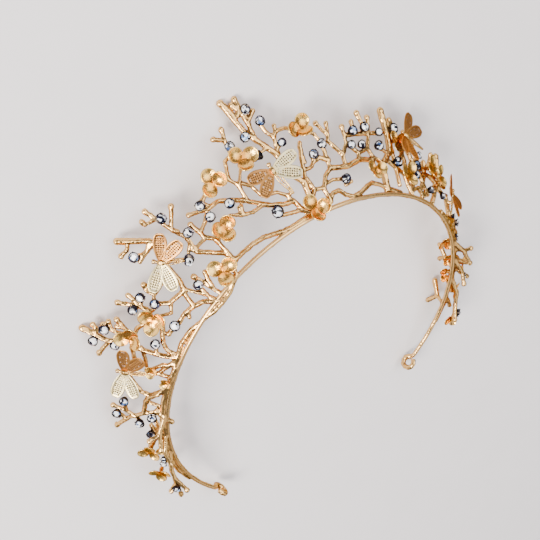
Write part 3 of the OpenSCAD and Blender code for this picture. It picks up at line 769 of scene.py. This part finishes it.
# %% Bend the wire
wire_r, wire_sides = 0.93, 14
eye_r = 2.9
up_z = Vector((0, 0, 1))
wire_end = half_band - 0.9
# the wire first leads up by 60 degrees, then turns back through 300 to close the eye
eye_lead, eye_rise, eye_sweep = radians(60), radians(30), radians(300)
tip_angle = radians(-150)
lead_steps, sweep_steps = 5, 22


def bend(centre, axis, angle, steps):
    bpy.ops.mesh.spin(steps=steps, angle=-angle, center=centre * MM, axis=axis)


def eye_of(side):
    end = upright(side * wire_end, wire_v)
    way = side * axes(side * wire_end)[0]
    first = end + eye_r * up_z
    middle = end + way * (eye_r * sin(eye_lead) + eye_r * cos(eye_rise))
    return way, first, middle, way.cross(up_z)


way, first, middle, axle = eye_of(-1)
tip = middle + eye_r * (cos(tip_angle) * way + sin(tip_angle) * up_z)
heading_there = 0.5 * way - sin(eye_lead) * up_z
bpy.ops.mesh.primitive_circle_add(vertices=wire_sides, radius=wire_r * MM, location=tip * MM,
                                  rotation=heading_there.to_track_quat("Z", "Y").to_euler())
band_wire = fresh("band_wire")
settle(band_wire)
edit(band_wire, "SELECT")
bend(middle, axle, eye_sweep, sweep_steps)
bend(first, -axle, eye_lead, lead_steps)
# start, end, offset of the centre, radius, steps of the three arcs
for start, end, offset, r, steps in (
        (-wire_end, -left_start, arc_offset(left_r, -left_start), left_r, 64),
        (-left_start, right_start, Vector(), brow_r, 40),
        (right_start, wire_end, arc_offset(right_r, right_start), right_r, 64)):
    bend(offset + brow_centre, up_z, (end - start) / r, steps)
way, first, middle, axle = eye_of(1)
bend(first, axle, eye_lead, lead_steps)
bend(middle, -axle, eye_sweep, sweep_steps)
print("eyes:", [[round(c, 1) for c in eye_of(side)[2]] for side in (-1, 1)])

# %% [markdown]
# A spin can leave doubled points where one arc hands over to the next, and it leaves the wire
# open at both ends. Any doubles are merged, the ends closed and the faces turned outwards. Only
# then is the wire laid down like the rest of the crown.

# %% Close the wire and lay it down
bpy.ops.mesh.select_all(action="SELECT")
bpy.ops.mesh.remove_doubles(threshold=1e-7)
bpy.ops.mesh.select_all(action="DESELECT")
bpy.ops.mesh.select_non_manifold()
bpy.ops.mesh.edge_face_add()
bpy.ops.mesh.select_all(action="SELECT")
bpy.ops.mesh.normals_make_consistent(inside=False)
done()
band_wire.data.transform(Matrix.Scale(MM, 4) @ laid @ Matrix.Scale(1 / MM, 4))
place_on_crown(band_wire, wire_gold, "cast_gold")
print("wire reaches", round(max(vert.co.y for vert in band_wire.data.vertices), 4))

# %% [markdown]
# ## The flowers
# Each petal was stamped from thin sheet as a round, shallow bowl with fine ribs and then bent up
# from the heart. One petal is modelled from a disc: insets give it rings, a poke closes the
# middle, alternate points of the rings are lifted for the ribs, a few points of its edge are
# drawn out into a neck, and a thickness makes it sheet metal. An attribute keeps how far each
# point lies from the heart, because the colour is a darker orange there and cream at the rim.

# %% One petal
petal_r, petal_middle, petal_points = 0.48, 0.56, 24
bowl, rib_height, rib_from, rib_to = 0.72, 0.013, 0.1, 0.45
neck_from, neck_reach, neck_share = 0.1, (-0.08, 0, -0.05), 0.7
ring_steps = (0.04, 0.12, 0.14)
sheet = 0.075
bpy.ops.mesh.primitive_circle_add(vertices=petal_points, radius=petal_r, fill_type="NGON")
petal = fresh("petal")
edit(petal, "SELECT")
for step in ring_steps:
    bpy.ops.mesh.inset(thickness=step)
bpy.ops.mesh.poke()
done()
for vert in petal.data.vertices:
    x, y = vert.co.x, vert.co.y
    r = hypot(x, y)
    rib = 0
    if rib_from < r < rib_to:
        odd = round(atan2(y, x) / (2 * pi / petal_points)) % 2
        rib = rib_height if odd else -rib_height
    vert.co = Vector((petal_middle + x, y, bowl * r * r + rib))
edit(petal)
choose(petal, verts=lambda co: co.x < neck_from)
bpy.ops.mesh.extrude_region_move(TRANSFORM_OT_translate={"value": neck_reach})
bpy.ops.transform.resize(value=(1, neck_share, 1), center_override=(0, 0, 0))
done()
finish(petal, Solidify={"thickness": sheet, "offset": 1.0}, Subsurf={"levels": 1, "render_levels": 1})
reach = petal.data.attributes.new("reach", "FLOAT", "POINT")
reach.data.foreach_set("value", [vert.co.x for vert in petal.data.vertices])
print("petal triangles:", triangles(petal))

# %% [markdown]
# A flower is three petals round a small ball, which hides the solder. The nodding ones are
# turned as a whole, so their petals are set on the tilted heart and not on the face.

# %% Flowers on their twigs
petal_size = 1.07
nod = 60
heart_r, heart_up = 0.16, 0.1
ball(heart_r, (0, 0, heart_up))
heart = fresh("heart")
settle(heart)
parts = []
for place, length, petals in flowers + small_flowers:
    parts.append(stamp(heart, seat(place, size=length)))
    for turn, tilt in petals:
        parts.append(stamp(petal, seat(place, turn=turn, tilt_v=-tilt, size=petal_size * length)))
for place, length, petals in nodding_flowers:
    down = seat(place, tilt_u=nod, size=length)
    parts.append(stamp(heart, down))
    for turn, tilt in petals:
        turned = Matrix.Rotation(radians(turn), 4, "Z") @ Matrix.Rotation(radians(-tilt), 4, "Y")
        parts.append(stamp(petal, down @ turned))
discard(petal, heart)
flower_heads = join(parts, "flowers")
place_on_crown(flower_heads, petal_gold, "cast_gold")

# %% [markdown]
# ## Cups and stones
# A rhinestone sits in a little tapered cup whose rim is pinched into four claws. The cup starts
# as a cone; its top is inset and pushed down for the pocket. A claw is a slanted peg with a
# ball that bends over the stone.

# %% One cup with claws
rim_r, foot_r = 1.27, 0.95
cup_height, cup_middle, cup_sides = 1.05, 0.745, 16
wall, pocket_depth, pocket_share, pocket_top = 0.08, 0.45, 0.45, 0.85
claws, claw_at, claw_lean = 4, 45, radians(-24)
peg_wide, peg_thin, peg_height, peg_ring, peg_level = 0.15, 0.08, 0.4, 1.18, 1.3
claw_ball, ball_ring, ball_level = 0.1, 1.08, 1.47
bpy.ops.mesh.primitive_cone_add(vertices=cup_sides, radius1=foot_r, radius2=rim_r, depth=cup_height,
                                location=(0, 0, cup_middle))
bezel = fresh("bezel")
settle(bezel)
edit(bezel)
choose(bezel, faces=lambda face: face.normal.z > 0.9)
bpy.ops.mesh.inset(thickness=wall)
bpy.ops.mesh.extrude_region_move(TRANSFORM_OT_translate={"value": (0, 0, -pocket_depth)})
bpy.ops.transform.resize(value=(pocket_share, pocket_share, 1), center_override=(0, 0, pocket_top))
for k in range(claws):
    a = radians(claw_at + 360 / claws * k)
    bpy.ops.mesh.primitive_cone_add(vertices=6, radius1=peg_wide, radius2=peg_thin, depth=peg_height,
                                    location=(peg_ring * cos(a), peg_ring * sin(a), peg_level),
                                    rotation=(0, claw_lean, a))
    ball(claw_ball, (ball_ring * cos(a), ball_ring * sin(a), ball_level), subdivisions=1)
done()
print("bezel triangles:", triangles(bezel))

# %% [markdown]
# The stone is the hull of a few rings of points, one above the other: the table, the corners of
# the kite facets, two for the girdle, one below it and the culet. That gives it the table and
# the facets of a real brilliant, which is cut by the same plan.

# %% One brilliant
table_r, table_level = 0.56, 0.36
# points, radius, level, turn of each ring below the table
rings = [
    (8, 0.82, -0.16, 22.5),
    (16, 1.0, -0.33, 0),
    (16, 1.0, -0.39, 0),
    (8, 0.5, -0.8, 22.5),
    (3, 0.02, -1.16, 0),
]
bpy.ops.mesh.primitive_circle_add(vertices=8, radius=table_r, location=(0, 0, table_level))
brilliant = fresh("brilliant")
edit(brilliant)
for count, r, level, turn in rings:
    bpy.ops.mesh.primitive_circle_add(vertices=count, radius=r, location=(0, 0, level),
                                      rotation=(0, 0, radians(turn)))
bpy.ops.mesh.select_all(action="SELECT")
bpy.ops.mesh.convex_hull()
bpy.ops.mesh.normals_make_consistent(inside=False)
done()
settle(brilliant)
print("brilliant faces:", len(brilliant.data.polygons))

# %% [markdown]
# Each cup is stamped on its seat and its stone is lowered into it. No two neighbours flash
# alike, because each stone is turned about its own axis by an angle that follows its place.

# %% Set the stones
stone_r, stone_level = 1.6, 1.28
girdle_share, depth_share = 1.13, 1.05
stone_spin = 37
cut_to_cup = Matrix.Diagonal((girdle_share, girdle_share, depth_share, 1))
in_cup = Matrix.Translation((0, 0, stone_level)) @ cut_to_cup
cups, cut = [], []
for place, size, tilt_u, tilt_v in stones + small_stones:
    cups.append(stamp(bezel, seat(place, tilt_u=tilt_u, tilt_v=tilt_v, size=stone_r * size)))
    spin = stone_spin * place[0]
    turned = seat(place, turn=spin, tilt_u=tilt_u, tilt_v=tilt_v, size=stone_r * size)
    cut.append(stamp(brilliant, turned @ in_cup))
discard(bezel, brilliant)
bezels = join(cups, "bezels")
place_on_crown(bezels, cup_metal, "cast_gold")
cut_stones = join(cut, "cut_stones")
stone_nodes = [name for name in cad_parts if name.startswith("stone_")]
place_on_crown(cut_stones, crystal, "crystal", *stone_nodes)
only(cut_stones)
bpy.ops.object.shade_flat()

# %% [markdown]
# ## Dragonflies
# A dragonfly is cast flat: four drop-shaped wings of lace inside a raised rim, a round head and
# chest, and a long tail of beads between two rails. A wing starts as a grid that is drawn into
# the drop shape. Its cells are inset one by one and pressed in, a few of them are cut through,
# and a thickness with one subdivision turns the square cells into the round pits of the lace.

# %% Press the lace
wing_l, wing_w = 12.0, 5.2
leaf_h, rim_height, rim_from = 0.42, 0.22, 0.98
cells_along, cells_across = 13, 6
lace_from, lace_to, lace_half = -0.72, 0.9, 0.7
pit_steps, pit_depth = (0.12, 0.04), 0.22
half_span, root_taper = 0.48, 0.35
bpy.ops.mesh.primitive_grid_add(x_subdivisions=cells_along, y_subdivisions=cells_across, size=2)
wing = fresh("wing")
edit(wing)
choose(wing, faces=lambda face: lace_from < face.center.x < lace_to and abs(face.center.y) < lace_half)
done()


# an ellipse that narrows towards the root, s from 0 at the root to 1 at the tip
def half_width(s):
    return 0.5 * wing_w * sqrt(1 - (1 - 2 * s) ** 2) * (1 - root_taper * (1 - 2 * s))


for vert in wing.data.vertices:
    s, t = 0.5 + half_span * vert.co.x, vert.co.y
    rim = max(abs(t), abs(vert.co.x)) > rim_from
    vert.co = Vector((wing_l * s, t * half_width(s), leaf_h + rim_height * rim))
bpy.ops.object.mode_set(mode="EDIT")
for step in pit_steps:
    bpy.ops.mesh.inset(thickness=step, use_individual=True)
bpy.ops.transform.translate(value=(0, 0, -pit_depth))
done()
pressed = [face.select for face in wing.data.polygons]
print("pits:", sum(pressed))

# %% [markdown]
# The lace is open in the same six places as in the solids. A pit whose middle lies close to one
# is cut through; near the root and near the tip two pits share a place, with a bar between them.
# Pits and holes get a painted shade, nearly black, where shadow fills them, so the faces that
# were pressed down, and later the steep walls inside the wing, take the second material. The
# first one is the leaf's own gold, which each dragonfly replaces with its own.

# %% Cut the gaps and paint shade into the pits
gap_r = 0.5
pressed_by, steep = 0.03, 0.5
inside_from, inside_to, inside_by = 0.06, 0.96, 0.25
# shares of the wing's length and width
gap_places = [(0.25, 0), (0.44, 0.2), (0.44, -0.2), (0.65, 0.22), (0.65, -0.22), (0.85, 0)]
gaps = [Vector((along * wing_l, across * wing_w)) for along, across in gap_places]


def is_gap(face):
    return pressed[face.index] and any((face.center.xy - gap).length < gap_r for gap in gaps)


def is_inside_wall(face):
    s = face.center.x / wing_l
    inside = inside_from < s < inside_to and abs(face.center.y) < half_width(s) - inside_by
    return inside and abs(face.normal.z) < steep


print("pits cut through:", sum(is_gap(face) for face in wing.data.polygons))
edit(wing)
choose(wing, faces=is_gap)
bpy.ops.mesh.delete(type="FACE")
done()
wing.data.materials.append(pale_leaf.material)
wing.data.materials.append(patina.material)
# the pressed pits take the painted shade
for face in wing.data.polygons:
    face.material_index = int(face.center.z < leaf_h - pressed_by)
finish(wing, Solidify={"thickness": leaf_h, "offset": -1.0})
# and so do the steep walls inside the wing
for face in wing.data.polygons:
    if is_inside_wall(face):
        face.material_index = 1
finish(wing, Subsurf={"levels": 1, "render_levels": 1})
print("wing triangles:", triangles(wing))

# %% [markdown]
# The body is wax again: a long chest, a head with two eyes and a neck, and a ring on the chest.
# A voxel remesh melts them together, fine enough that the eyes stay round.

# %% One body
fly_voxel = 0.14
chest_size, chest_at = (1.1, 2.0, 0.95), (0, -0.2, 0.65)
ring_r, ring_wire, ring_at = 0.6, 0.17, (0, -0.2, 1.45)
# radius and place of the head, the eyes and the neck
head_balls = [
    (0.92, (0, 2.6, 0.6)),
    (0.4, (0.6, 2.9, 0.8)),
    (0.4, (-0.6, 2.9, 0.8)),
    (0.7, (0, 1.6, 0.6)),
]
bpy.ops.mesh.primitive_uv_sphere_add(segments=14, ring_count=10, radius=1, location=(0, 0, 0))
body = fresh("body")
body.scale = chest_size
body.location = chest_at
settle(body)
edit(body)
for r, centre in head_balls:
    ball(r, centre)
bpy.ops.mesh.primitive_torus_add(major_segments=16, minor_segments=6, major_radius=ring_r,
                                 minor_radius=ring_wire, location=ring_at)
done()
finish(body, Remesh={"mode": "VOXEL", "voxel_size": fly_voxel}, Smooth={"factor": 0.5, "iterations": 2})
print("body triangles:", triangles(body))

# %% [markdown]
# The tail is a row of beads that grow smaller, held between two rails that swell and then close
# at the tip. Rods and balls make it, in the same way as the twigs.

# %% One tail
tail_level = 0.6
# distance from the middle line, distance along the tail
rail = [(0.5, -1.4), (0.95, -3.2), (1.05, -4.6), (0.85, -7.4), (0.5, -10.2), (0.2, -11.6)]
rail_wide, rail_thin, rail_sides, rail_overlap = 0.3, 0.28, 8, 0.1
beads, first_bead, bead_step, bead_r, bead_taper = 10, -2.4, 0.92, 0.46, 0.015
tip_bead_r, tip_bead = 0.42, -11.5
ball(tip_bead_r, (0, tip_bead, tail_level))
tail = fresh("tail")
settle(tail)
edit(tail)
for side in (-1, 1):
    knees = [Vector((side * x, y, tail_level)) for x, y in rail]
    for start, end in zip(knees, knees[1:]):
        rod(start, end, rail_wide, rail_thin, rail_sides, rail_overlap)
for k in range(beads):
    ball(bead_r - bead_taper * k, (0, first_bead - bead_step * k, tail_level))
done()
finish(tail, Remesh={"mode": "VOXEL", "voxel_size": fly_voxel}, Smooth={"factor": 0.5, "iterations": 1})
print("tail triangles:", triangles(tail))

# %% [markdown]
# Each dragonfly has a bronze and a pale pair of wings, or two bronze ones, and its tail trails
# off to one side. The wings rise a little from the body, as they do on a real one at rest.

# %% Dragonflies on the crown
tail_turn, full_tail = 13, 12
wing_rise = -10
# place of the chest, turn, lean, size, length of the tail, finishes of the left and right wings
dragonflies = [
    ((-3.2, 22.6, 1.45), 2, 4, 1.0, 12.0, bronze_leaf, pale_leaf),
    ((-47.2, 25.1, 1.45), 29, -4, 1.0, 8.6, pale_leaf, bronze_leaf),
    ((-87.3, 19, 1.45), 3, 0, 1.0, 12.0, pale_leaf, bronze_leaf),
    ((50.8, 23.8, 2.85), 58, 11, 1.0, 12.0, bronze_leaf, bronze_leaf),
    ((88, 14.5, 1.45), -12, 0, 0.9, 12.0, bronze_leaf, bronze_leaf),
]
for number, (place, turn, lean, size, tail_l, left_leaf, right_leaf) in enumerate(dragonflies, 1):
    here = seat(place, turn=turn, tilt_v=lean, size=size)
    stretch = Matrix.Diagonal((1, tail_l / full_tail, 1, 1))
    behind = here @ Matrix.Rotation(radians(tail_turn), 4, "Z") @ stretch
    parts = [stamp(body, here), stamp(tail, behind)]
    for piece in parts:
        piece.data.materials.append(fly_gold.material)
    for angle, leaf in ((172, left_leaf), (215, left_leaf), (8, right_leaf), (-35, right_leaf)):
        spread = Matrix.Rotation(radians(angle), 4, "Z") @ Matrix.Rotation(radians(wing_rise), 4, "Y")
        leaf_piece = stamp(wing, here @ spread)
        leaf_piece.data.materials[0] = leaf.material
        parts.append(leaf_piece)
    fly = join(parts, f"dragonfly_piece_{number}")
    only(fly)
    bpy.ops.object.shade_smooth()
    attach(fly, "root")
    "pale_gold" if number in (2, 3) else "filigree_gold"
    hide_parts(f"dragonfly_{number}")
    print(fly.name, "triangles:", triangles(fly))
discard(wing, body, tail)

# %% [markdown]
# ## Floor, light and camera
# The crown lies on a plain pale floor, a hair below its lowest point. A rough paper takes soft
# shadows and sends a little warm light up under the gold.

# %% Floor
floor_size, floor_gap = 4, 0.2 * MM
bpy.ops.mesh.primitive_plane_add(size=floor_size, location=(0, 0, -floor_gap))
floor = fresh("floor")
settle(floor)
paper = Finish("pale_paper")
fibre = paper.grain(40, 4)
paper.set(Base_Color=paper.blend(fibre, (0.80, 0.755, 0.755), (0.84, 0.80, 0.80)), Roughness=0.85)
paper.dress(floor)
print("floor:", [round(side, 1) for side in floor.dimensions])

# %% [markdown]
# Polished gold shows what surrounds it, so the room is dim and the lamps are broad: every rod
# then gets a cream highlight between two brown edges. A warm lamp on the camera's side is the
# key, a large one overhead fills the shadows, and a weak one from the back draws the rims.


# %% Light
def lamp(name, towards, distance, size, watts, colour):
    bpy.ops.object.light_add(type="AREA", location=Vector(towards).normalized() * distance)
    light = bpy.context.object
    light.name = name
    light.data.size = size
    light.data.energy = watts
    light.data.color = colour
    light.rotation_euler = Vector(towards).to_track_quat("Z", "Y").to_euler()


lamp("key", (1.03, -0.34, 0.80), 1.2, 0.5, 32, (1.0, 0.96, 0.91))
lamp("fill", (-0.3, -0.5, 1.0), 1.5, 1.5, 30, (0.97, 0.97, 1.0))
lamp("back", (-0.3, 0.7, 0.75), 1.5, 1.3, 7, (1.0, 0.97, 0.93))
world = bpy.data.worlds.new("studio")
bpy.context.scene.world = world
world.use_nodes = True
room = world.node_tree.nodes["Background"]
room.inputs["Color"].default_value = (0.86, 0.88, 0.95, 1)
room.inputs["Strength"].default_value = 0.28
print("lamps:", len(bpy.data.lights))

# %% [markdown]
# The camera looks down on the crown over its brow, turned on its side as the photographer held
# it. Its three axes are unit vectors of the scene: to the right of the picture, up and ahead.

# %% Camera
right = (-0.8321, 0.2304, 0.5045)
up = (-0.4701, -0.7757, -0.4211)
ahead = (-0.2943, 0.5875, -0.7538)
camera_at = Vector((122.3, -243.07, 303.66))
bpy.ops.object.camera_add()
camera = bpy.context.object
facing = Matrix((right, up, [-c for c in ahead])).transposed().to_4x4()
camera.matrix_world = Matrix.Translation(camera_at * MM) @ facing
camera.data.lens = 63.8
camera.data.sensor_width = 36
camera.data.clip_start = 0.01
bpy.context.scene.camera = camera
print("camera distance:", round(camera_at.length), "mm")

# %% [markdown]
